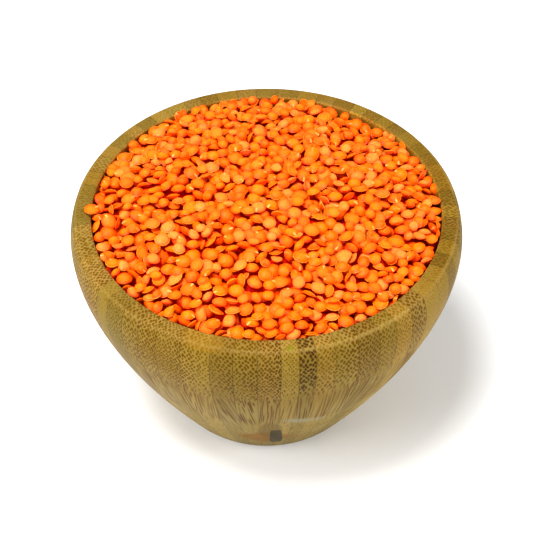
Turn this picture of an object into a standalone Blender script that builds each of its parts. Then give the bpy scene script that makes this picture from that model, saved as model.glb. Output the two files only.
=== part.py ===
"""A turned bamboo bowl filled with a heap of split red lentils.

Metres, +Z up. The bowl stands on its flat foot, whose centre is the origin.
Two solids: the bowl, and the lentils as one fused heap that rests in it.
"""

import math
import random

import bmesh
import bpy
from mathutils import Euler, Vector

# Bowl, outside
RIM_RADIUS = 0.065
BOWL_HEIGHT = 0.087
WIDEST_RADIUS = 0.0671
WIDEST_BELOW_RIM = 0.0097
WALL_SLOPE = math.radians(60.6)
FOOT_RADIUS = 0.0338
FOOT_ROUND = 0.004

# Bowl, inside
RIM_WIDTH = 0.0056
FLOOR_THICKNESS = 0.0085
RIM_EDGE_ROUND = 0.0009

# Heap
HEAP_CROWN = 0.0070
HEAP_EDGE_DROP = 0.0012
HEAP_POWER = 2.3
CORE_BELOW_TOP = 0.0024
TOUCHING_GAP = 0.0003

# Lentils on top of the heap
LENTIL_COUNT = 225
LENTIL_RADIUS = (0.0022, 0.0028)
LENTIL_THICKNESS = 0.0026
LENTIL_LIFT = (0.0003, 0.0011)
LENTIL_SIDES = 7
LENTIL_TILT = math.radians(42)
SEED = 11
FLAT_ANGLE = math.radians(0.5)
SMALLEST_EDGE = 0.00002

BOWL_SEGMENTS = 48
CORE_SEGMENTS = 24


def clear_scene():
    for obj in list(bpy.data.objects):
        bpy.data.objects.remove(obj, do_unlink=True)


def make_material(name, colour, roughness):
    material = bpy.data.materials.new(name)
    material.use_nodes = True
    shader = material.node_tree.nodes["Principled BSDF"]
    shader.inputs["Base Color"].default_value = (*colour, 1.0)
    shader.inputs["Roughness"].default_value = roughness
    shader.inputs["Metallic"].default_value = 0.0
    material.diffuse_color = (*colour, 1.0)
    return material


def wall_curve(foot, foot_round, base, widest, rim, bend_points=7):
    """One side of the wall from the foot up to the rim, as (radius, height).

    A small round turns the flat foot up to the wall's slope, a curve bends the
    wall to upright at its widest, and above that it draws in to the rim.
    """
    points = []
    for i in range(4):
        turn = WALL_SLOPE * i / 3
        points.append((foot + foot_round * math.sin(turn), base + foot_round * (1 - math.cos(turn))))
    start_r, start_z = points[-1]
    corner_z = start_z + (widest - start_r) * math.tan(WALL_SLOPE)
    widest_z = BOWL_HEIGHT - WIDEST_BELOW_RIM
    for i in range(1, bend_points + 1):
        t = i / bend_points
        r = (1 - t) ** 2 * start_r + (2 * t * (1 - t) + t * t) * widest
        z = (1 - t) ** 2 * start_z + 2 * t * (1 - t) * corner_z + t * t * widest_z
        points.append((r, z))
    for i in range(1, 4):
        t = i / 3
        points.append((widest + (rim - widest) * t * t, widest_z + WIDEST_BELOW_RIM * t))
    return points


def inner_curve(gap):
    """The inside of the wall, or the same curve moved in by a gap."""
    return wall_curve(
        foot=FOOT_RADIUS - 0.007,
        foot_round=0.010 - gap,
        base=FLOOR_THICKNESS + gap,
        widest=RIM_RADIUS - RIM_WIDTH - gap / math.sin(WALL_SLOPE),
        rim=RIM_RADIUS - RIM_WIDTH - gap / math.sin(WALL_SLOPE),
        bend_points=4,
    )


def turn_profile(name, points, segments, material):
    """Spins a profile that starts and ends on the axis into a closed solid."""
    mesh = bmesh.new()
    verts = [mesh.verts.new((r, 0.0, z)) for r, z in points]
    edges = [mesh.edges.new(pair) for pair in zip(verts, verts[1:])]
    bmesh.ops.spin(
        mesh,
        geom=verts + edges,
        cent=(0, 0, 0),
        axis=(0, 0, 1),
        angle=2 * math.pi,
        steps=segments,
        use_merge=True,
    )
    bmesh.ops.remove_doubles(mesh, verts=mesh.verts, dist=0.000001)
    bmesh.ops.recalc_face_normals(mesh, faces=mesh.faces)
    data = bpy.data.meshes.new(name)
    mesh.to_mesh(data)
    mesh.free()
    data.materials.append(material)
    data.shade_smooth()
    data.set_sharp_from_angle(angle=math.radians(35))
    obj = bpy.data.objects.new(name, data)
    bpy.context.scene.collection.objects.link(obj)
    return obj


def round_corner(centre_r, centre_z, radius, start, end, steps=2):
    """Points on an arc about a centre, with angles in degrees."""
    points = []
    for i in range(steps + 1):
        angle = math.radians(start + (end - start) * i / steps)
        points.append((centre_r + radius * math.cos(angle), centre_z + radius * math.sin(angle)))
    return points


def bowl_profile():
    edge = RIM_EDGE_ROUND
    inner_rim = RIM_RADIUS - RIM_WIDTH
    outside = wall_curve(FOOT_RADIUS, FOOT_ROUND, 0.0, WIDEST_RADIUS, RIM_RADIUS)[:-1]
    outer_edge = round_corner(RIM_RADIUS - edge, BOWL_HEIGHT - edge, edge, 0, 90)
    inner_edge = round_corner(inner_rim + edge, BOWL_HEIGHT - edge, edge, 90, 180)
    inside = inner_curve(0.0)[:-1]
    return [(0.0, 0.0)] + outside + outer_edge + inner_edge + inside[::-1] + [(0.0, FLOOR_THICKNESS)]


def heap_height(r):
    """Height of the heap's top at a radius, from the crown down to its edge."""
    edge_r = RIM_RADIUS - RIM_WIDTH
    return BOWL_HEIGHT + HEAP_CROWN - (HEAP_CROWN + HEAP_EDGE_DROP) * (r / edge_r) ** HEAP_POWER


def core_profile():
    """The heap under its top layer: it fills the bowl up to a plain mound."""
    top = []
    inside = inner_curve(TOUCHING_GAP)
    edge_height = heap_height(RIM_RADIUS - RIM_WIDTH) - CORE_BELOW_TOP
    lower = [(r, z) for r, z in inside if z < edge_height - 0.0015]
    edge_r = lower[-1][0] - 0.0002
    for i in range(7):
        r = edge_r * (1 - i / 7)
        top.append((r, heap_height(r) - CORE_BELOW_TOP))
    crown = (0.0, heap_height(0.0) - CORE_BELOW_TOP)
    return [(0.0, FLOOR_THICKNESS + TOUCHING_GAP)] + lower + top + [crown]


def lentil_mesh():
    """A lentil of unit diameter and thickness, with a domed top and a plain cone below."""
    mesh = bmesh.new()
    bmesh.ops.create_circle(mesh, cap_ends=True, segments=LENTIL_SIDES, radius=0.5)
    underside = bmesh.ops.poke(mesh, faces=mesh.faces[:])["verts"]
    underside[0].co.z = -0.5
    rim_edges = [edge for edge in mesh.edges if edge.is_boundary]
    raised = bmesh.ops.extrude_edge_only(mesh, edges=rim_edges)["geom"]
    dome = [item for item in raised if isinstance(item, bmesh.types.BMVert)]
    bmesh.ops.scale(mesh, verts=dome, vec=(0.58, 0.58, 1))
    bmesh.ops.translate(mesh, verts=dome, vec=(0, 0, 0.5))
    bmesh.ops.holes_fill(mesh, edges=mesh.edges, sides=LENTIL_SIDES)
    bmesh.ops.recalc_face_normals(mesh, faces=mesh.faces)
    data = bpy.data.meshes.new("lentil")
    mesh.to_mesh(data)
    mesh.free()
    return data


def scatter_lentils(collection):
    """Lays lentils over the mound in a sunflower spiral, each tipped its own way."""
    draw = random.Random(SEED)
    shape = lentil_mesh()
    wall_r = RIM_RADIUS - RIM_WIDTH - TOUCHING_GAP
    golden_turn = math.pi * (3 - math.sqrt(5))
    for index in range(LENTIL_COUNT):
        radius = draw.uniform(*LENTIL_RADIUS)
        reach = wall_r - radius - 0.0006
        r = reach * math.sqrt((index + 0.5) / LENTIL_COUNT)
        angle = index * golden_turn + draw.uniform(-0.4, 0.4) * 0.003 / max(r, 0.003)
        tilt = LENTIL_TILT * draw.random() ** 0.8
        turn = draw.uniform(0, 2 * math.pi)
        lift = draw.uniform(*LENTIL_LIFT)
        lentil = bpy.data.objects.new("lentil", shape)
        lentil.scale = (2 * radius, 2 * radius, LENTIL_THICKNESS)
        lentil.rotation_euler = Euler((tilt * math.cos(turn), tilt * math.sin(turn), turn), "XYZ")
        height = heap_height(r) - CORE_BELOW_TOP + lift
        lentil.location = Vector((r * math.cos(angle), r * math.sin(angle), height))
        collection.objects.link(lentil)


def keep_largest_shell(data):
    """Drops loose scraps and fills sealed hollows, which are shells of their own."""
    mesh = bmesh.new()
    mesh.from_mesh(data)
    shells = []
    unseen = set(mesh.verts)
    while unseen:
        start = unseen.pop()
        shell = [start]
        stack = [start]
        while stack:
            for edge in stack.pop().link_edges:
                for vert in edge.verts:
                    if vert in unseen:
                        unseen.remove(vert)
                        shell.append(vert)
                        stack.append(vert)
        shells.append(shell)
    shells.sort(key=len, reverse=True)
    for shell in shells[1:]:
        bmesh.ops.delete(mesh, geom=shell, context="VERTS")
    bmesh.ops.dissolve_limit(mesh, angle_limit=FLAT_ANGLE, verts=mesh.verts, edges=mesh.edges)
    bmesh.ops.triangulate(mesh, faces=mesh.faces)
    bmesh.ops.remove_doubles(mesh, verts=mesh.verts, dist=SMALLEST_EDGE)
    mesh.to_mesh(data)
    mesh.free()


def fuse(obj, collection):
    """Joins every lentil of the collection to the core, then removes them."""
    union = obj.modifiers.new("fuse lentils", "BOOLEAN")
    union.operation = "UNION"
    union.operand_type = "COLLECTION"
    union.collection = collection
    union.solver = "EXACT"
    bpy.context.view_layer.update()
    graph = bpy.context.evaluated_depsgraph_get()
    fused = bpy.data.meshes.new_from_object(obj.evaluated_get(graph))
    obj.modifiers.remove(union)
    obj.data = fused
    for lentil in list(collection.objects):
        bpy.data.objects.remove(lentil, do_unlink=True)
    bpy.data.collections.remove(collection)
    keep_largest_shell(fused)


clear_scene()

bamboo = make_material("bamboo", (0.28, 0.17, 0.035), 0.5)
turn_profile("bowl", bowl_profile(), BOWL_SEGMENTS, bamboo)

orange = make_material("lentil", (0.87, 0.17, 0.008), 0.45)
heap = turn_profile("lentils", core_profile(), CORE_SEGMENTS, orange)
loose = bpy.data.collections.new("loose lentils")
bpy.context.scene.collection.children.link(loose)
scatter_lentils(loose)
fuse(heap, loose)
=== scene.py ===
"""A turned bamboo bowl filled with a heap of dry red lentils, dressed for a product photograph."""

import math

import bmesh
import bpy
import numpy as np
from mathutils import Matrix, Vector


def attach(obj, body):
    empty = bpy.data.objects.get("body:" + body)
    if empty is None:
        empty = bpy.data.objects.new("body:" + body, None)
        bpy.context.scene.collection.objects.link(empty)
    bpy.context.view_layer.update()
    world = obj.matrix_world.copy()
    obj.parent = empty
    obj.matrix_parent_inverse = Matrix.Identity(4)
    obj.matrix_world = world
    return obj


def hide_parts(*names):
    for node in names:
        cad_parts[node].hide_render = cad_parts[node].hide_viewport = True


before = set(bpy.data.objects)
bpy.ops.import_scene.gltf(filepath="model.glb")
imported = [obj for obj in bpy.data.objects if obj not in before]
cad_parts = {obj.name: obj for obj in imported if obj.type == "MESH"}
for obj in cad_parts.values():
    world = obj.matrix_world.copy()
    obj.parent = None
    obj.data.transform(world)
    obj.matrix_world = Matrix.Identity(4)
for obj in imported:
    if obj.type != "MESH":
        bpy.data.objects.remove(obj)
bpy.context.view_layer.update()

rng = np.random.default_rng(29)


# The bowl. Real ones are turned on a lathe from a ring of narrow bamboo staves glued
# side by side, then sanded and oiled. The cut ends of the fibres show as dots on the
# rim and the upper wall, and run out into long streaks further down.

RIM_RADIUS = 0.065
BOWL_HEIGHT = 0.087
WIDEST_RADIUS = 0.0671
WIDEST_BELOW_RIM = 0.0097
WALL_SLOPE = math.radians(60.6)
FOOT_RADIUS = 0.0338
FOOT_ROUND = 0.004
RIM_WIDTH = 0.0056
FLOOR_THICKNESS = 0.0085
INNER_FOOT_RADIUS = FOOT_RADIUS - 0.007
INNER_FOOT_ROUND = 0.010
RIM_EDGE_ROUND = 0.0009

STAVE_COUNT = 58
FACES_PER_STAVE = 4
FRONT_START = -63.0
# the staves in front: width in degrees, how dark the fibres are at the left and right
# side, brightness
FRONT_STAVES = (
    (8.0, 0.66, 0.74, 1.04),
    (5.0, 0.05, 0.10, 1.02),
    (6.5, 0.20, 0.40, 0.84),
    (6.0, 0.40, 0.60, 0.93),
    (6.0, 0.70, 0.86, 1.04),
    (7.6, 0.40, 0.62, 0.98),
    (8.5, 0.66, 0.26, 1.10),
    (6.4, 0.36, 0.60, 0.88),
    (6.5, 0.42, 0.90, 0.98),
    (6.4, 0.56, 0.96, 0.96),
    (4.9, 0.20, 0.30, 1.10),
    (4.6, 0.94, 1.00, 0.90),
    (5.4, 0.30, 0.40, 1.02),
    (6.9, 0.36, 0.74, 0.95),
    (6.5, 0.58, 0.48, 0.78),
    (5.8, 0.50, 0.40, 0.96),
    (6.0, 0.22, 0.34, 1.12),
    (6.0, 0.58, 0.64, 0.90),
    (7.0, 0.10, 0.22, 1.08),
)
# heights between which the cut runs along the fibres, and how squarely it crosses them
# there; what it gains above and below, over a height of CUT_FADE
STREAK_TOP = 0.058
STREAK_BOTTOM = 0.042
CUT_ALONG = 0.05
CUT_GAIN_ABOVE = 0.69
CUT_GAIN_BELOW = 0.30
CUT_FADE = 0.016
FIBRE_LEAN_SPREAD = 5.0


def wall_curve(foot, foot_round, base, widest, rim, steps):
    """One side of the wall from the foot up to the rim, as (radius, height)."""
    points = []
    for turn in np.linspace(0, WALL_SLOPE, 8):
        points.append((foot + foot_round * math.sin(turn), base + foot_round * (1 - math.cos(turn))))
    start_r, start_z = points[-1]
    corner_z = start_z + (widest - start_r) * math.tan(WALL_SLOPE)
    widest_z = BOWL_HEIGHT - WIDEST_BELOW_RIM
    for t in np.linspace(0, 1, steps)[1:]:
        r = (1 - t) ** 2 * start_r + (2 * t * (1 - t) + t * t) * widest
        z = (1 - t) ** 2 * start_z + 2 * t * (1 - t) * corner_z + t * t * widest_z
        points.append((r, z))
    for t in np.linspace(0, 1, 9)[1:]:
        points.append((widest + (rim - widest) * t * t, widest_z + WIDEST_BELOW_RIM * t))
    return points


def rounded(centre_r, centre_z, radius, start, end, steps=6):
    angles = np.radians(np.linspace(start, end, steps))
    return [(centre_r + radius * math.cos(a), centre_z + radius * math.sin(a)) for a in angles]


def flat_run(r_from, r_to, z, steps):
    return [(r, z) for r in np.linspace(r_from, r_to, steps)]


def inner_curve(gap, steps):
    return wall_curve(
        foot=INNER_FOOT_RADIUS,
        foot_round=INNER_FOOT_ROUND - gap,
        base=FLOOR_THICKNESS + gap,
        widest=RIM_RADIUS - RIM_WIDTH - gap,
        rim=RIM_RADIUS - RIM_WIDTH - gap,
        steps=steps,
    )


def bowl_profile():
    edge = RIM_EDGE_ROUND
    inner_rim = RIM_RADIUS - RIM_WIDTH
    points = flat_run(0, FOOT_RADIUS, 0.0, 8)[:-1]
    points += wall_curve(FOOT_RADIUS, FOOT_ROUND, 0.0, WIDEST_RADIUS, RIM_RADIUS, 40)[:-1]
    points += rounded(RIM_RADIUS - edge, BOWL_HEIGHT - edge, edge, 0, 90)
    points += flat_run(RIM_RADIUS - edge, inner_rim + edge, BOWL_HEIGHT, 5)[1:-1]
    points += rounded(inner_rim + edge, BOWL_HEIGHT - edge, edge, 90, 180)
    points += inner_curve(0.0, 14)[-2::-1]
    points += flat_run(INNER_FOOT_RADIUS, 0, FLOOR_THICKNESS, 5)[1:]
    return points


def spin_profile(points, segments, along=None):
    """Turns a profile that starts and ends on the axis into a closed bmesh."""
    mesh = bmesh.new()
    way = mesh.verts.layers.float.new("along")
    verts = [mesh.verts.new((r, 0.0, z)) for r, z in points]
    for vert, value in zip(verts, along if along is not None else []):
        vert[way] = value
    edges = [mesh.edges.new(pair) for pair in zip(verts, verts[1:])]
    bmesh.ops.spin(mesh, geom=verts + edges, cent=(0, 0, 0), axis=(0, 0, 1),
                   angle=2 * math.pi, steps=segments, use_merge=True)
    bmesh.ops.remove_doubles(mesh, verts=mesh.verts, dist=0.000001)
    bmesh.ops.recalc_face_normals(mesh, faces=mesh.faces)
    for face in mesh.faces:
        face.smooth = True
    return mesh


def stave_table():
    """One row for each stave round the bowl: width, darkness left and right, brightness."""
    front = np.array(FRONT_STAVES)
    rest = STAVE_COUNT - len(front)
    widths = rng.uniform(4.8, 8.0, rest)
    widths *= (360 - front[:, 0].sum()) / widths.sum()
    dark = np.sort(rng.uniform(0.02, 0.85, (rest, 2)), axis=1)
    dark[:, 0] = np.maximum(dark[:, 0], dark[:, 1] - 0.4)
    turned = rng.random(rest) < 0.5
    dark[turned] = dark[turned][:, ::-1]
    darker = rng.random(rest) < 0.45
    brightness = np.where(darker, rng.uniform(0.79, 0.90, rest), rng.uniform(0.96, 1.12, rest))
    return np.vstack([front, np.column_stack([widths, dark, brightness])])


def new_object(name, mesh, material):
    data = bpy.data.meshes.new(name)
    mesh.to_mesh(data)
    mesh.free()
    data.materials.append(material)
    obj = bpy.data.objects.new(name, data)
    bpy.context.scene.collection.objects.link(obj)
    return obj


class Nodes:
    """Short names for the nodes of one material."""

    def __init__(self, name):
        self.material = bpy.data.materials.new(name)
        self.material.use_nodes = True
        self.tree = self.material.node_tree
        self.shader = self.tree.nodes["Principled BSDF"]

    def add(self, kind, values=None, **settings):
        node = self.tree.nodes.new(kind)
        for key, value in settings.items():
            setattr(node, key, value)
        for key, value in (values or {}).items():
            self.put(node.inputs[key], value)
        return node

    def put(self, socket, value):
        if isinstance(value, bpy.types.NodeSocket):
            self.tree.links.new(value, socket)
        elif isinstance(value, tuple) and len(value) == 3 and socket.type == "RGBA":
            socket.default_value = (*value, 1.0)
        else:
            socket.default_value = value

    def maths(self, operation, *values, clamp=False):
        node = self.add("ShaderNodeMath", operation=operation, use_clamp=clamp)
        for socket, value in zip(node.inputs, values):
            self.put(socket, value)
        return node.outputs[0]

    def times(self, *values):
        product = values[0]
        for value in values[1:]:
            product = self.maths("MULTIPLY", product, value)
        return product

    def length(self, x, y):
        squares = self.maths("ADD", self.maths("MULTIPLY", x, x), self.maths("MULTIPLY", y, y))
        return self.maths("SQRT", squares)

    def ramp(self, value, low, high, to_low=0.0, to_high=1.0):
        """Maps low..high smoothly to to_low..to_high."""
        node = self.add("ShaderNodeMapRange", interpolation_type="SMOOTHSTEP")
        for index, item in enumerate((value, low, high, to_low, to_high)):
            self.put(node.inputs[index], item)
        return node.outputs[0]

    def patch(self, x, y, at, half, power, soft=0.25):
        """One inside a patch about a place, nought outside: power 1 a lozenge, 2 round, 6 nearly square."""
        parts = []
        for value, middle, reach in zip((x, y), at, half):
            far = self.maths("ABSOLUTE", self.maths("DIVIDE", self.maths("SUBTRACT", value, middle), reach))
            parts.append(self.maths("POWER", far, power))
        return self.ramp(self.maths("ADD", *parts), 1.0 - soft, 1.0 + soft, 1.0, 0.0)

    def mix(self, amount, first, second, blend="MIX"):
        node = self.add("ShaderNodeMix", data_type="RGBA", blend_type=blend)
        for index, value in ((0, amount), (6, first), (7, second)):
            self.put(node.inputs[index], value)
        return node.outputs[2]

    def tint(self, amount, colour, factors):
        """Multiplies a colour by three factors, by an amount."""
        return self.mix(amount, colour, self.mix(1.0, colour, factors, "MULTIPLY"))

    def noise(self, vector, scale, detail=3.0):
        values = {"Vector": vector, "Scale": scale, "Detail": detail, "Roughness": 0.55}
        return self.add("ShaderNodeTexNoise", values).outputs["Fac"]

    def stretched(self, vector, x, y, turn=0.0):
        values = {"Vector": vector, "Scale": (x, y, 1.0), "Rotation": (0.0, 0.0, turn)}
        return self.add("ShaderNodeMapping", values).outputs[0]

    def finish(self, colour, roughness, height, bump_distance):
        self.put(self.shader.inputs["Base Color"], colour)
        self.put(self.shader.inputs["Roughness"], roughness)
        bump = self.add("ShaderNodeBump", {"Height": height, "Distance": bump_distance, "Strength": 1.0})
        self.put(self.shader.inputs["Normal"], bump.outputs[0])
        return self.material


def bamboo_material():
    n = Nodes("bamboo")
    place = n.add("ShaderNodeTexCoord").outputs["Object"]
    axes = n.add("ShaderNodeSeparateXYZ", {"Vector": place})
    x, y, height = axes.outputs[0], axes.outputs[1], axes.outputs[2]
    out = n.length(x, y)
    uv = n.add("ShaderNodeUVMap", uv_map="fibres").outputs[0]
    stave = n.add("ShaderNodeAttribute", attribute_name="stave")
    parts = n.add("ShaderNodeSeparateColor", {"Color": stave.outputs["Color"]})
    tone, dense, dotted = parts.outputs[0], parts.outputs[1], parts.outputs[2]
    warmth = stave.outputs["Alpha"]
    streaks = n.times(n.ramp(height, 0.070, 0.060), n.ramp(height, 0.034, 0.044))
    front = n.ramp(y, -0.010, -0.020)
    # they are darkest near the rim, and at one place lower down in front
    dark_place = n.times(n.patch(x, height, (-0.0060, 0.0520), (0.0036, 0.0095), 4.0, 0.5), front)
    dense = n.maths("MINIMUM", dense, n.ramp(height, 0.058, 0.074, 0.62, 1.0))
    dense = n.maths("MAXIMUM", dense, n.maths("MULTIPLY", dark_place, 0.93))

    # the cut ends of the fibres, in loose diagonal rows
    wander = n.add("ShaderNodeTexNoise", {"Vector": uv, "Scale": 0.30, "Detail": 2.0}, noise_dimensions="2D")
    push = n.add("ShaderNodeVectorMath", operation="MULTIPLY_ADD")
    n.put(push.inputs[0], wander.outputs["Color"])
    push.inputs[1].default_value = (1.2, 1.2, 0.0)
    n.put(push.inputs[2], uv)
    turned = n.stretched(push.outputs[0], 1.0, 1.0, math.radians(45))
    cells = n.add("ShaderNodeTexVoronoi", {"Vector": turned, "Scale": 1.08, "Randomness": 0.42},
                  voronoi_dimensions="2D")
    distance = cells.outputs["Distance"]
    chance = n.add("ShaderNodeSeparateColor", {"Color": cells.outputs["Color"]})
    radius = n.maths("MULTIPLY_ADD", dense, 0.12, 0.23)
    radius = n.maths("MULTIPLY_ADD", chance.outputs[0], 0.08, radius)
    radius = n.maths("MULTIPLY", radius, n.maths("MULTIPLY_ADD", streaks, -0.35, 1.0))
    dot = n.ramp(n.maths("SUBTRACT", radius, distance), -0.06, 0.06)
    sparse = n.ramp(height, 0.080, 0.064, 0.78, 0.46)
    share = n.maths("MULTIPLY_ADD", dense, 0.5, sparse)
    present = n.ramp(n.maths("SUBTRACT", share, chance.outputs[1]), -0.02, 0.10)
    patchy = n.ramp(n.noise(uv, 0.16, 2.0), 0.30, 0.50, 0.60, 1.0)
    # further down most of them thin out into fine lines along the fibres
    lines = n.add("ShaderNodeTexVoronoi", {"Vector": n.stretched(push.outputs[0], 1.50, 0.55), "Scale": 1.0},
                  voronoi_dimensions="2D")
    line = n.times(n.ramp(lines.outputs["Distance"], 0.29, 0.36, 1.0, 0.0), streaks)
    share = n.maths("MULTIPLY_ADD", dense, 0.5, 0.25)
    bold = n.ramp(n.maths("SUBTRACT", share, chance.outputs[1]), -0.05, 0.05)
    dot = n.maths("MULTIPLY", dot, n.maths("SUBTRACT", 1.0, n.times(streaks, n.maths("SUBTRACT", 1.0, bold))))
    line = n.maths("MULTIPLY", line, n.ramp(dense, 0.10, 0.65, 0.60, 1.0))
    foot = n.ramp(height, 0.036, 0.043, 0.35, 1.0)
    flat = n.ramp(height, 0.0850, 0.0868)
    far = n.maths("SUBTRACT", 1.0, n.times(flat, n.ramp(y, -0.030, 0.030, 0.0, 0.45)))
    dot = n.times(n.maths("MAXIMUM", n.maths("MULTIPLY", dot, present), line), dotted, patchy, foot, far)
    halo = n.times(n.ramp(n.maths("SUBTRACT", distance, radius), 0.0, 0.16), dotted, foot,
                   n.maths("MULTIPLY_ADD", streaks, -0.6, 1.0))

    # the ground between them: olive brown and oiled above, paler lower down, partly as drier wood and partly
    # as painted light from the floor's bounce
    fine = n.noise(n.stretched(uv, 4.0, 0.25), 1.0, 4.0)
    cloud = n.noise(place, 55.0, 3.0)
    pale = n.ramp(height, 0.074, 0.046)
    ground = n.mix(warmth, (0.158, 0.107, 0.0095), (0.180, 0.107, 0.0105))
    ground = n.mix(n.maths("MULTIPLY", pale, 0.85), ground, (0.220, 0.158, 0.036))
    ground = n.tint(n.ramp(cloud, 0.35, 0.65), ground, (0.88, 0.82, 0.60))
    ground = n.tint(n.maths("MULTIPLY", halo, 0.70), ground, (1.40, 1.40, 2.70))
    ink = n.mix(n.ramp(dense, 0.25, 0.72), (0.108, 0.058, 0.0006), (0.092, 0.036, 0.0003))
    ink = n.mix(n.ramp(dense, 0.84, 1.0), ink, (0.050, 0.016, 0.0020))
    # the dots are paler lower down too, partly painted bounce light from the floor
    ink = n.mix(n.maths("MULTIPLY", pale, 0.65), ink, (0.098, 0.040, 0.0004))
    colour = n.mix(n.maths("MULTIPLY", dot, 0.97), ground, ink)
    # a thin dark line of glue where two staves meet
    joints = n.add("ShaderNodeUVMap", uv_map="joints").outputs[0]
    joint = n.add("ShaderNodeSeparateXYZ", {"Vector": joints}).outputs[0]
    light = n.times(tone, n.ramp(fine, 0.25, 0.75, 0.86, 1.12), n.ramp(joint, 0.06, 0.26, 0.68, 1.0))
    shade = n.add("ShaderNodeCombineColor", {"Red": light, "Green": light, "Blue": light}).outputs[0]
    colour = n.mix(1.0, colour, shade, "MULTIPLY")
    # the flat rim is sanded paler, and its right side has painted shade, darker and redder; the inner wall
    # just below the rim has painted light, paler still
    colour = n.tint(flat, colour, (1.18, 1.13, 1.50))
    # painted shade: the right side of the flat rim is darkened and reddened
    right = n.times(flat, n.ramp(x, 0.040, 0.058))
    colour = n.tint(right, colour, (0.86, 0.78, 0.50))
    # painted light: the inner wall just below the rim is lightened where the crevice beside the lentils lies
    # in shade
    inside = n.times(n.ramp(out, 0.0600, 0.0595), n.ramp(height, 0.070, 0.074))
    colour = n.tint(inside, colour, (1.70, 1.52, 1.40))

    # marks of its own: a knot with a stain round it low in front, a scuff beside it,
    # a stained place and a green fleck on the rim, and a pale line along the rim's outer edge that is partly
    # wear and partly a painted highlight
    loose = n.noise(place, 300.0, 3.0)
    near_x = n.maths("MULTIPLY_ADD", loose, 0.0012, n.maths("SUBTRACT", x, 0.0006))
    near_z = n.maths("MULTIPLY_ADD", loose, 0.0040, n.maths("SUBTRACT", height, 0.0020))
    stain = n.patch(near_x, near_z, (-0.0006, 0.0205), (0.0098, 0.0085), 1.2, 0.25)
    stained = n.mix(loose, (0.098, 0.038, 0.001), (0.240, 0.108, 0.006))
    colour = n.mix(n.times(stain, front, 0.95), colour, stained)
    above = n.patch(near_x, near_z, (0.0014, 0.0310), (0.0036, 0.0105), 3.0, 0.60)
    colour = n.mix(n.times(above, front, 0.60), colour, (0.098, 0.052, 0.004))
    knot = n.patch(near_x, near_z, (0.0033, 0.0215), (0.0022, 0.0108), 6.0, 0.30)
    knot_colour = n.mix(loose, (0.012, 0.009, 0.001), (0.046, 0.036, 0.007))
    colour = n.mix(n.times(knot, front, 0.94), colour, knot_colour)
    sloped = n.maths("MULTIPLY_ADD", x, 0.35, height)
    scuff = n.patch(x, sloped, (0.0120, 0.0462), (0.0068, 0.0021), 2.0, 0.8)
    scuff = n.times(scuff, front, n.ramp(loose, 0.30, 0.60, 0.25, 0.65))
    colour = n.mix(scuff, colour, (0.225, 0.215, 0.140))
    rim_stain = n.patch(x, height, (-0.0195, 0.0870), (0.0060, 0.0020), 2.0, 0.6)
    colour = n.mix(n.times(rim_stain, front, 0.40), colour, (0.270, 0.130, 0.008))
    fleck = n.patch(x, out, (0.0072, 0.0636), (0.0011, 0.0013), 2.0, 0.5)
    colour = n.mix(n.times(fleck, front, n.ramp(height, 0.0850, 0.0860), 0.55), colour, (0.140, 0.150, 0.003))
    # a pale line along the rim's outer edge: partly wear, partly a painted highlight
    rim_edge = n.times(n.ramp(out, 0.0638, 0.0645), n.ramp(height, 0.0858, 0.0866))
    uneven = n.ramp(cloud, 0.35, 0.60, 0.2, 1.0)
    wear_and_highlight = n.times(rim_edge, uneven, n.ramp(x, -0.020, 0.025, 0.15, 0.40))
    colour = n.mix(wear_and_highlight, colour, (0.330, 0.225, 0.055))

    relief = n.maths("MULTIPLY_ADD", dot, -1.0, n.maths("MULTIPLY", fine, 0.35))
    roughness = n.ramp(fine, 0.2, 0.8, 0.44, 0.58)
    n.shader.inputs["Specular IOR Level"].default_value = 0.04
    return n.finish(colour, roughness, relief, 0.00006)


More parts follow.
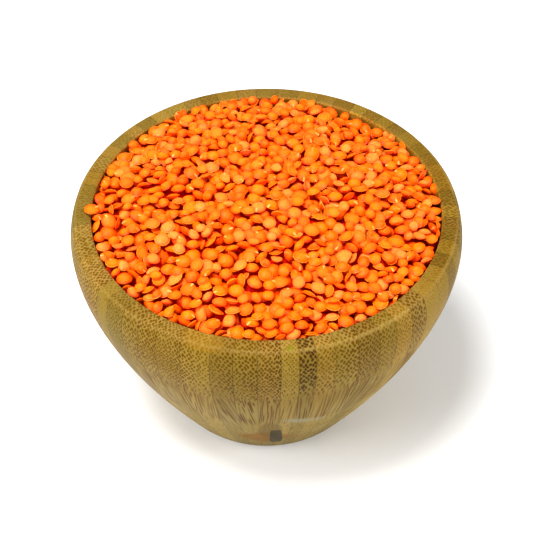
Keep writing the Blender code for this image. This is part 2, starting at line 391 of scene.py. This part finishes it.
def bamboo_bowl():
    points = bowl_profile()
    segments = STAVE_COUNT * FACES_PER_STAVE

    # how far each part of the profile lies across the fibres, in millimetres, on each
    # stave: the wall cuts them nearly square at the rim, and runs along them lower down
    radii, heights = np.array(points).T
    lengths = np.hypot(np.diff(radii), np.diff(heights)) * 1000
    middle = (heights[1:] + heights[:-1]) / 2
    way_up = np.concatenate([[0], np.cumsum(lengths)])
    mesh = spin_profile(points, segments, way_up)
    along = []
    for shift in rng.uniform(-0.003, 0.003, STAVE_COUNT):
        above = np.clip((middle - STREAK_TOP - shift) / CUT_FADE, 0, 1) ** 1.3
        below = np.clip((STREAK_BOTTOM + shift - middle) / CUT_FADE, 0, 1) ** 1.4
        cut = CUT_ALONG + CUT_GAIN_ABOVE * above + CUT_GAIN_BELOW * below
        along.append(np.concatenate([[0], np.cumsum(lengths * cut)]))

    table = stave_table()
    edges = np.radians(FRONT_START + np.concatenate([[0], np.cumsum(table[:, 0])]))
    even = np.linspace(0, 2 * math.pi, STAVE_COUNT + 1)
    warmth = rng.random(STAVE_COUNT)
    grain = rng.uniform(0.80, 1.05, STAVE_COUNT)
    dotted = rng.uniform(0.35, 1.0, STAVE_COUNT)
    dotted[: len(FRONT_STAVES)] = np.where(table[: len(FRONT_STAVES), 2] < 0.25, 0.45, 1.0)
    jump = rng.uniform(0, 400, (STAVE_COUNT, 2))
    # how far each stave's fibres lean from upright
    lean = np.tan(np.radians(rng.normal(0, FIBRE_LEAN_SPREAD, STAVE_COUNT)))

    way = mesh.verts.layers.float["along"]
    uv = mesh.loops.layers.uv.new("fibres")
    joints = mesh.loops.layers.uv.new("joints")
    marks = mesh.loops.layers.float_color.new("stave")
    for face in mesh.faces:
        centre = face.calc_center_median()
        index = int((math.atan2(centre.y, centre.x) % (2 * math.pi)) / even[1])
        _, left, right, tone = table[index]
        width = edges[index + 1] - edges[index]
        for loop in face.loops:
            co = loop.vert.co
            r = math.hypot(co.x, co.y)
            corner = even[1] / 2
            if r > 1e-6:
                corner = (math.atan2(co.y, co.x) - even[index] + math.pi) % (2 * math.pi) - math.pi
            share = corner / even[1]
            across = (share - 0.5) * width * r * 1000 + lean[index] * loop.vert[way]
            v = np.interp(loop.vert[way], way_up, along[index])
            loop[uv].uv = (across * grain[index] + jump[index, 0], v * grain[index] + jump[index, 1])
            loop[joints].uv = ((0.5 - abs(share - 0.5)) * width * r * 1000, 0)
            loop[marks] = (tone, left + (right - left) * share, dotted[index], warmth[index])
    front = -math.pi / 2
    for vert in mesh.verts:
        r = math.hypot(vert.co.x, vert.co.y)
        if r > 1e-6:
            turn = np.interp(math.atan2(vert.co.y, vert.co.x) % (2 * math.pi), even, edges) + front
            vert.co.x = r * math.cos(turn)
            vert.co.y = r * math.sin(turn)
    return new_object("bamboo_bowl", mesh, bamboo_material())


bowl = bamboo_bowl()
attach(bowl, "root")
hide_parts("bowl")


# The heap under its top layers. It fills the bowl, and only its colour shows through
# the gaps between the lentils that lie on it; that colour is a deep dark red, painted shade for those gaps.

HEAP_CROWN = 0.0070
HEAP_EDGE_DROP = 0.0001
HEAP_POWER = 2.3
# where the heap's edge dips: direction and spread in degrees, extra depth
HEAP_DIPS = ((52, 9, 0.0024), (14, 12, 0.0010), (168, 9, 0.0008), (-60, 16, 0.0006), (-140, 14, 0.0006))
CORE_DEPTH = 0.0042
CORE_EDGE_DROP = 0.0022
CORE_WALL_TOP = BOWL_HEIGHT - CORE_DEPTH - 0.0035
WALL_GAP = 0.0003


def heap_height(r, turn=None):
    drop = HEAP_EDGE_DROP
    if turn is not None:
        for at, spread, depth in HEAP_DIPS:
            away = (np.degrees(turn) - at + 180) % 360 - 180
            drop = drop + depth * np.exp(-((away / spread) ** 2))
    return BOWL_HEIGHT + HEAP_CROWN - (HEAP_CROWN + drop) * (r / (RIM_RADIUS - RIM_WIDTH)) ** HEAP_POWER


def core_height(r):
    """Height of the core's top, which lies deeper towards the wall, where the heap dips."""
    return heap_height(r) - CORE_DEPTH - CORE_EDGE_DROP * (r / (RIM_RADIUS - RIM_WIDTH)) ** 5


def gap_shade_material():
    n = Nodes("lentils below in painted shade")
    place = n.add("ShaderNodeTexCoord").outputs["Object"]
    cells = n.add("ShaderNodeTexVoronoi", {"Vector": place, "Scale": 260.0}).outputs["Distance"]
    # painted shade: a deep dark red where the core shows through the gaps
    colour = n.mix(n.ramp(cells, 0.2, 0.8), (0.56, 0.003, 0.0002), (0.44, 0.001, 0.0002))
    n.shader.inputs["Specular IOR Level"].default_value = 0.05
    return n.finish(colour, 0.6, n.maths("MULTIPLY", cells, -1.0), 0.0008)


def heap_core():
    lower = [point for point in inner_curve(WALL_GAP, 14) if point[1] < CORE_WALL_TOP]
    floor = flat_run(0, INNER_FOOT_RADIUS, FLOOR_THICKNESS + WALL_GAP, 4)[:-1]
    edge_r = lower[-1][0]
    top = [(r, core_height(r)) for r in np.linspace(edge_r, 0, 24)]
    return new_object("lentils_below", spin_profile(floor + lower + top, 96), gap_shade_material())


core = heap_core()
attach(core, "root")
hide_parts("lentils")


# The lentils: hulled red lentils, some whole and still round on both sides, the rest
# split into halves with one flat face. They are laid one by one on the heap, each
# turned the way in which it sinks deepest between those already there.

LENTIL_DIAMETER = (0.0042, 0.0057)
SMALL_DIAMETER = (0.0036, 0.0048)
WHOLE_THICKNESS = 0.0023
SPLIT_THICKNESS = 0.0013
SPLIT_SHARE = 0.58
# three rounds of laying: tries, diameters, places looked at, least depth of a hollow, share
# of the underside that stays clear of the others, and how far a lentil may rise over the heap
LAYING = (4500, LENTIL_DIAMETER, 30, 0.0, 0.995, 0.0001)
FILLING = (3200, SMALL_DIAMETER, 160, 0.0007, 0.97, 0.0006)
SINKING = (1100, SMALL_DIAMETER, 700, 0.0017, 0.78, 0.0002)
TURNS_TRIED = 22
LEAN_SPREAD = math.radians(27)
STEEPEST_LEAN = math.radians(78)
STEEPEST_SLOPE = math.radians(60)
BESIDE_WALL = 0.0018
# the heap's height is kept over a grid: its step and half its width, the reach of the
# largest lentil, and in cells how far round a place counts for its slope, how far a lentil
# may move from it, and how far round a full place is marked
GRID_STEP = 0.00025
GRID_HALF_WIDTH = 0.062
LARGEST_REACH = 0.0031
SLOPE_CELLS = 7
SHIFT_CELLS = 5
FULL_CELLS = 3
FULL_MARK = 0.0004
SMOOTHING_ROUNDS = 14
LENTIL_SIDES = 12
BROKEN_SHARE = 0.16
FLAT_SIDE_UP_SHARE = 0.36
# radius and height of the lens at the mould's four levels, from the rim to the middle
LENS_LEVELS = ((1.0, 0.0), (0.87, 0.30), (0.56, 0.74), (0.0, 1.0))
FLAT_FACE_INSET = 0.035
FLAT_FACE_EDGE = 0.16


def lentil_mould(split):
    """A lentil of unit diameter: a dome on both sides, or on one side of a split one."""
    mesh = bmesh.new()
    bmesh.ops.create_uvsphere(mesh, u_segments=LENTIL_SIDES, v_segments=6, radius=0.5)
    if split:
        cut = bmesh.ops.bisect_plane(mesh, geom=mesh.verts[:] + mesh.edges[:] + mesh.faces[:],
                                     plane_co=(0, 0, 0), plane_no=(0, 0, 1), clear_inner=True)
        rim = [item for item in cut["geom_cut"] if isinstance(item, bmesh.types.BMEdge)]
        flat_face = bmesh.ops.contextual_create(mesh, geom=rim)["faces"]
        bmesh.ops.inset_region(mesh, faces=flat_face, thickness=FLAT_FACE_INSET, use_even_offset=True)
    for vert in mesh.verts:
        level = round(math.degrees(math.asin(min(abs(vert.co.z) * 2, 1.0))) / 30)
        flat_r = math.hypot(vert.co.x, vert.co.y)
        if level == 0 and flat_r < 0.48:
            continue
        out, up = LENS_LEVELS[level]
        if split and level == 0:
            up = FLAT_FACE_EDGE
        widen = 0.5 * out / flat_r if level < 3 else 0.0
        vert.co = (vert.co.x * widen, vert.co.y * widen, up * 0.5 if vert.co.z > -1e-4 else -up * 0.5)
    bmesh.ops.recalc_face_normals(mesh, faces=mesh.faces)
    mesh.verts.ensure_lookup_table()
    verts = np.array([vert.co[:] for vert in mesh.verts])
    faces = [[vert.index for vert in face.verts] for face in mesh.faces]
    flat = [len(face.verts) > 4 for face in mesh.faces]
    mesh.free()
    return verts, faces, flat


def tilt_matrix(tilt, heading, spin):
    """Tips a lentil by an angle towards a heading, after a turn about its own axis."""
    ch, sh = math.cos(heading), math.sin(heading)
    ct, st = math.cos(tilt), math.sin(tilt)
    cs, ss = math.cos(spin - heading), math.sin(spin - heading)
    to_heading = np.array([[ch, -sh, 0], [sh, ch, 0], [0, 0, 1]])
    tip = np.array([[ct, 0, st], [0, 1, 0], [-st, 0, ct]])
    turn = np.array([[cs, -ss, 0], [ss, cs, 0], [0, 0, 1]])
    return to_heading @ tip @ turn


def lens_shell(radius, half, matrix, cells):
    """Heights of a tipped lens's top and underside over the grid cells round its centre."""
    x, y = cells
    m = matrix
    scale = np.array([1 / radius**2, 1 / radius**2, 1 / half**2])
    # an ellipsoid p^T A p = 1, solved for z over each x, y
    a = (m * scale) @ m.T
    qa = a[2, 2]
    qb = 2 * (a[0, 2] * x + a[1, 2] * y)
    qc = a[0, 0] * x * x + 2 * a[0, 1] * x * y + a[1, 1] * y * y - 1
    root = qb * qb - 4 * qa * qc
    inside = root > 0
    root = np.sqrt(np.where(inside, root, 0))
    return inside, (-qb + root) / (2 * qa), (-qb - root) / (2 * qa)


def cells_round(x, y, reach):
    """The square of grid cells that lie within a number of cells of one of them."""
    return slice(x - reach, x + reach + 1), slice(y - reach, y + reach + 1)


def offsets(reach):
    """How far each cell of such a square lies from its middle."""
    away = np.arange(-reach, reach + 1) * GRID_STEP
    return np.meshgrid(away, away, indexing="ij")


class Heap:
    """The lentils laid so far, and over a grid of cells how high they reach and should reach."""

    def __init__(self):
        self.half_grid = int(GRID_HALF_WIDTH / GRID_STEP)
        self.axis = np.arange(-self.half_grid, self.half_grid + 1) * GRID_STEP
        x, y = np.meshgrid(self.axis, self.axis, indexing="ij")
        self.out = np.hypot(x, y)
        self.inner = RIM_RADIUS - RIM_WIDTH - 0.0001
        self.wall = self.out > self.inner
        self.target = heap_height(np.minimum(self.out, self.inner), np.arctan2(y, x))
        self.wanted = self.target.copy()
        self.ground = core_height(np.minimum(self.out, self.inner))
        self.ground[self.wall] = BOWL_HEIGHT + 0.0002
        self.laid = []

    def lowest_place(self, looks, beside):
        """The lowest of some places, measured against the heap's own shape."""
        spots = (self.inner - 0.0003) * np.sqrt(rng.uniform(0.955 if beside else 0.0, 1.0, looks))
        turns = rng.uniform(0, 2 * math.pi, looks)
        ix = np.rint(spots * np.cos(turns) / GRID_STEP).astype(int) + self.half_grid
        iy = np.rint(spots * np.sin(turns) / GRID_STEP).astype(int) + self.half_grid
        spot = np.argmin(self.ground[ix, iy] - self.wanted[ix, iy])
        return ix[spot], iy[spot]

    def slope(self, cx, cy, beside):
        """How steep it is at a place, and which way is downhill."""
        near_x, near_y = offsets(SLOPE_CELLS)
        near = self.ground[cells_round(cx, cy, SLOPE_CELLS)]
        slope_x = (near * near_x).sum() / (near_x**2).sum()
        slope_y = (near * near_y).sum() / (near_y**2).sum()
        steep = min(math.atan(math.hypot(slope_x, slope_y)), STEEPEST_SLOPE)
        downhill = math.atan2(-slope_y, -slope_x)
        # beside the wall some stand on edge and lean on it
        if self.out[cx, cy] > self.inner - BESIDE_WALL and rng.random() < (0.75 if beside else 0.4):
            steep, downhill = rng.uniform(0.75, 1.20), math.atan2(-self.axis[cy], -self.axis[cx])
        return steep, downhill

    def keep_inside(self, px, py, radius, half, tilt, heading):
        """The same cell, or one nearer the middle where the lentil would cut the wall."""
        at = math.hypot(self.axis[px], self.axis[py])
        turn = math.atan2(self.axis[py], self.axis[px])
        facing = (math.sin(tilt) * math.cos(heading - turn)) ** 2
        limit = self.inner - math.sqrt(radius**2 * (1 - facing) + half**2 * facing)
        if at > limit:
            px = int(round(limit * math.cos(turn) / GRID_STEP)) + self.half_grid
            py = int(round(limit * math.sin(turn) / GRID_STEP)) + self.half_grid
        return px, py

    def settle(self, cx, cy, beside, split, radius, half, clear):
        """The lowest of some lies about a place, tipped along its slope, more or less."""
        steep, downhill = self.slope(cx, cy, beside)
        reach = int(LARGEST_REACH / GRID_STEP)
        cells = offsets(reach)
        best = None
        for _ in range(TURNS_TRIED):
            lean_x = steep * math.cos(downhill) + rng.normal(0, LEAN_SPREAD)
            lean_y = steep * math.sin(downhill) + rng.normal(0, LEAN_SPREAD)
            tilt = min(math.hypot(lean_x, lean_y), STEEPEST_LEAN)
            heading = math.atan2(lean_y, lean_x)
            px, py = (cx, cy) + rng.integers(-SHIFT_CELLS, SHIFT_CELLS + 1, 2)
            px, py = self.keep_inside(px, py, radius, half, tilt, heading)
            matrix = tilt_matrix(tilt, heading, rng.uniform(0, 2 * math.pi))
            inside, top, under = lens_shell(radius, half * (1.15 if split else 1.0), matrix, cells)
            window = cells_round(px, py, reach)
            room = np.sort((self.ground[window] - under)[inside & ~self.wall[window]])
            level = room[int((len(room) - 1) * clear)]
            height = level + 0.6 * top[inside].max() - self.target[px, py]
            merit = height + rng.uniform(0, 0.0004)
            if best is None or merit < best[0]:
                centre = (self.axis[px], self.axis[py], level)
                best = (merit, height, centre, matrix, window, inside, top)
        return best[1:]

    def lay(self, tries, diameters, looks, hollow, clear, rise):
        """One round of laying, with the values that its row gives."""
        for number in range(tries):
            split = rng.random() < SPLIT_SHARE
            radius = rng.uniform(*diameters) / 2
            half = (SPLIT_THICKNESS if split else WHOLE_THICKNESS) / 2 * rng.uniform(0.85, 1.15)
            # every other filler looks for a place beside the wall
            beside = hollow > 0 and number % 2 == 0
            cx, cy = self.lowest_place(looks, beside)
            if hollow > 0 and self.ground[cx, cy] > self.wanted[cx, cy] - hollow:
                continue
            lie = self.settle(cx, cy, beside, split, radius, half, clear)
            height, centre, matrix, window, inside, top = lie
            if height > rise:
                # full here: look elsewhere from now on
                self.wanted[cells_round(cx, cy, FULL_CELLS)] -= FULL_MARK
                continue
            covered = np.maximum(self.ground[window][inside], top[inside] + centre[2])
            self.ground[window][inside] = covered
            self.laid.append((split, radius, half, centre, matrix))

    def depth_below_top(self, spots):
        """How far each of some points lies below the heap's smoothed top."""
        surface = np.where(self.wall, self.target, self.ground)
        for _ in range(SMOOTHING_ROUNDS):
            for side in (0, 1):
                surface = (np.roll(surface, 2, side) + np.roll(surface, -2, side) + surface) / 3
        cells = np.rint(spots[:, :2] / GRID_STEP).astype(int) + self.half_grid
        cells = np.clip(cells, 0, 2 * self.half_grid)
        return surface[cells[:, 0], cells[:, 1]] - spots[:, 2]


def lay_lentils():
    """Drops lentils on the core up to the heap's height, then fills the hollows left between."""
    heap = Heap()
    heap.lay(*LAYING)
    heap.lay(*FILLING)
    # the last ones are wedged into the deep gaps through which the core still shows
    heap.wanted = heap.target.copy()
    heap.lay(*SINKING)
    # one that has landed on the rim's inner edge, at the left
    place = (-0.0590, -0.0026, BOWL_HEIGHT + 0.0009)
    heap.laid.append((True, 0.0027, 0.0006, place, tilt_matrix(tilt=0.12, heading=0.2, spin=0.7)))
    return heap


def lentil_material(name, split):
    n = Nodes(name)
    place = n.add("ShaderNodeTexCoord").outputs["Object"]
    own = n.add("ShaderNodeAttribute", attribute_name="own_look")
    parts = n.add("ShaderNodeSeparateColor", {"Color": own.outputs["Color"]})
    tone, paleness, flat = parts.outputs[0], parts.outputs[1], parts.outputs[2]
    buried = n.add("ShaderNodeAttribute", attribute_name="buried").outputs["Fac"]
    uv = n.add("ShaderNodeUVMap", uv_map="disc").outputs[0]
    axes = n.add("ShaderNodeSeparateXYZ", {"Vector": uv})
    x, y = axes.outputs[0], axes.outputs[1]
    rim = n.ramp(n.length(x, y), 0.86, 0.98)
    germ_and_glint = n.patch(x, y, (0.78, 0.0), (0.30, 0.14), 2.0, 0.5)
    mottle = n.noise(place, 900.0, 3.0)
    colour = n.mix(tone, (0.88, 0.080, 0.0001), (0.96, 0.168, 0.0001))
    colour = n.mix(n.ramp(paleness, 0.70, 1.0, 0.0, 0.75), colour, (0.98, 0.270, 0.050))
    colour = n.mix(n.maths("MULTIPLY", flat, 0.20), colour, (0.96, 0.180, 0.004))
    colour = n.mix(n.ramp(mottle, 0.35, 0.7, 0.0, 0.22), colour, (0.96, 0.19, 0.0002))
    # painted light and shade on each lentil: a painted sheen makes it paler at the middle and painted shade
    # makes it deeper towards the edge;
    # a whole lentil has painted shade darkest at its very rim, and many split ones have a painted highlight,
    # a pale line, there
    colour = n.mix(n.ramp(n.length(x, y), 0.72, 0.20, 0.0, 0.32), colour, (0.98, 0.235, 0.022))
    colour = n.mix(n.ramp(n.length(x, y), 0.60, 0.90, 0.0, 0.50), colour, (0.82, 0.038, 0.0001))
    if split:
        # a painted highlight along the rim of many split ones
        chance = n.maths("FRACT", n.maths("MULTIPLY", paleness, 7.0))
        painted_rim_highlight = n.ramp(chance, 0.30, 0.90, 0.08, 0.75)
        colour = n.mix(n.maths("MULTIPLY", rim, painted_rim_highlight), colour, (0.98, 0.34, 0.016))
    else:
        # painted shade, darkest at a whole lentil's very rim
        colour = n.mix(n.maths("MULTIPLY", rim, 0.60), colour, (0.70, 0.014, 0.0001))
    # a pale spot at one end of some, partly the germ and partly a painted glint, and a brown speck beside it
    # on a few
    germ_and_glint = n.times(germ_and_glint, n.ramp(own.outputs["Alpha"], 0.62, 0.95, 0.0, 0.75))
    colour = n.mix(germ_and_glint, colour, (0.99, 0.50, 0.12))
    speck = n.patch(x, y, (0.60, 0.16), (0.16, 0.10), 2.0, 0.5)
    speck = n.times(speck, n.ramp(own.outputs["Alpha"], 0.92, 0.93), 0.7)
    colour = n.mix(speck, colour, (0.340, 0.150, 0.020))
    # painted shade: deeper and redder the further it lies below the heap's top, standing in for the shade in
    # the gaps
    colour = n.mix(n.ramp(buried, 0.0013, 0.0032, 0.0, 0.92), colour, (0.62, 0.004, 0.0001))
    n.shader.inputs["Subsurface Weight"].default_value = 0.32
    n.shader.inputs["Subsurface Radius"].default_value = (1.0, 0.10, 0.01)
    n.shader.inputs["Subsurface Scale"].default_value = 0.0008
    n.shader.inputs["Specular IOR Level"].default_value = 0.07
    roughness = n.maths("MULTIPLY_ADD", flat, 0.15, n.ramp(mottle, 0.3, 0.7, 0.34, 0.44))
    return n.finish(colour, roughness, mottle, 0.00004)


def own_shape(mould, column, split, radius, half):
    """The mould's corners at one lentil's size, with an outline and a slight warp of its own."""
    shape = mould.copy()
    wobble = rng.normal(0, 0.030, LENTIL_SIDES)
    wobble = (wobble + 0.6 * np.roll(wobble, 1) + 0.6 * np.roll(wobble, -1)) / 1.5
    shape[:, :2] *= 1 + wobble[column][:, None]
    shape[:, 1] *= rng.uniform(0.86, 1.0)
    if rng.random() < BROKEN_SHARE:
        # a piece has broken off one side
        turn = rng.uniform(0, 2 * math.pi)
        way = np.array([math.cos(turn), math.sin(turn)])
        over = np.maximum(shape[:, :2] @ way - rng.uniform(0.24, 0.42), 0)
        shape[:, :2] -= over[:, None] * way
    shape = shape * (2 * radius, 2 * radius, 2 * half)
    if split:
        shape[:, 2] = shape[:, 2] * 2 - half
        if rng.random() < FLAT_SIDE_UP_SHARE:
            shape[:, 1:] *= -1
    shape[:, 2] += rng.normal(0, 0.05) * (shape[:, 0] ** 2 - shape[:, 1] ** 2) / radius
    return shape


def joined_lentils(name, heap, split):
    """Every lentil of one kind in one mesh, each with an outline and a colour of its own."""
    verts, faces, flat = lentil_mould(split)
    column = np.rint(np.arctan2(verts[:, 1], verts[:, 0]) / (2 * math.pi) * LENTIL_SIDES)
    column = column.astype(int) % LENTIL_SIDES
    lentils = [one for one in heap.laid if one[0] == split]
    places = np.empty((len(lentils), len(verts), 3))
    look = np.empty((len(lentils), len(verts), 4))
    for index, (_, radius, half, centre, matrix) in enumerate(lentils):
        places[index] = own_shape(verts, column, split, radius, half) @ matrix.T + centre
        look[index] = (rng.random(), rng.random(), 0.0, rng.random())
    all_faces = []
    for index in range(len(lentils)):
        all_faces += [[corner + index * len(verts) for corner in face] for face in faces]
    spots = places.reshape(-1, 3)
    data = bpy.data.meshes.new(name)
    data.from_pydata(spots, [], all_faces)
    depth = heap.depth_below_top(spots).astype(np.float32)
    data.attributes.new("buried", "FLOAT", "POINT").data.foreach_set("value", depth)
    corners = np.empty(len(data.loops), dtype=np.int32)
    data.loops.foreach_get("vertex_index", corners)
    disc = np.tile(verts[:, :2] * 2, (len(lentils), 1))
    data.uv_layers.new(name="disc").data.foreach_set("uv", disc[corners].ravel())
    values = look.reshape(-1, 4)[corners]
    values[:, 2] = np.tile(np.repeat(flat, [len(face) for face in faces]), len(lentils))
    own_look = data.color_attributes.new("own_look", "FLOAT_COLOR", "CORNER")
    own_look.data.foreach_set("color", values.ravel())
    data.shade_smooth()
    data.set_sharp_from_angle(angle=math.radians(50))
    data.materials.append(lentil_material(name, split))
    obj = bpy.data.objects.new(name, data)
    bpy.context.scene.collection.objects.link(obj)
    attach(obj, "root")
    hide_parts("lentils")
    return obj


lentil_heap = lay_lentils()
joined_lentils("lentils_whole", lentil_heap, split=False)
joined_lentils("lentils_split", lentil_heap, split=True)


# The floor, the lights and the camera.

CAMERA_DISTANCE = 0.46429
CAMERA_TILT = math.radians(45.89)
AIM_HEIGHT = 0.05786


def pale_floor():
    mesh = bmesh.new()
    bmesh.ops.create_grid(mesh, x_segments=1, y_segments=1, size=3.0)
    n = Nodes("floor")
    n.shader.inputs["Base Color"].default_value = (0.93, 0.93, 0.93, 1)
    n.shader.inputs["Roughness"].default_value = 0.9
    floor = new_object("floor", mesh, n.material)


def soft_light(name, place, aim, size, watts):
    lamp = bpy.data.lights.new(name, "AREA")
    lamp.shape = "DISK"
    lamp.size = size
    lamp.energy = watts
    obj = bpy.data.objects.new(name, lamp)
    obj.location = place
    obj.rotation_euler = (Vector(aim) - Vector(place)).to_track_quat("-Z", "Y").to_euler()
    bpy.context.scene.collection.objects.link(obj)


pale_floor()
soft_light("overhead", (-0.18, -0.12, 0.85), (0, 0, 0.06), 0.32, 8.6)
soft_light("upper_left", (-0.7, -0.35, 0.65), (0, 0, 0.05), 0.6, 4.4)
soft_light("left", (-0.9, -0.25, 0.22), (0, 0, 0.05), 0.6, 4.3)
soft_light("right", (0.9, -0.20, 0.20), (0, 0, 0.05), 0.6, 9.2)
soft_light("front", (0.2, -1.1, 0.40), (0, 0, 0.05), 0.8, 1.2)

world = bpy.data.worlds.new("studio")
world.use_nodes = True
world.node_tree.nodes["Background"].inputs["Color"].default_value = (1, 1, 1, 1)
world.node_tree.nodes["Background"].inputs["Strength"].default_value = 0.42
bpy.context.scene.world = world
bpy.context.scene.view_settings.view_transform = "Standard"

camera_data = bpy.data.cameras.new("camera")
camera_data.lens = 88.2
camera_data.sensor_width = 36
camera = bpy.data.objects.new("camera", camera_data)
camera_back = CAMERA_DISTANCE * math.cos(CAMERA_TILT)
camera_up = CAMERA_DISTANCE * math.sin(CAMERA_TILT)
camera.location = (0, -camera_back, AIM_HEIGHT + camera_up)
camera.rotation_euler = (math.pi / 2 - CAMERA_TILT, 0, 0)
bpy.context.scene.collection.objects.link(camera)
bpy.context.scene.camera = camera
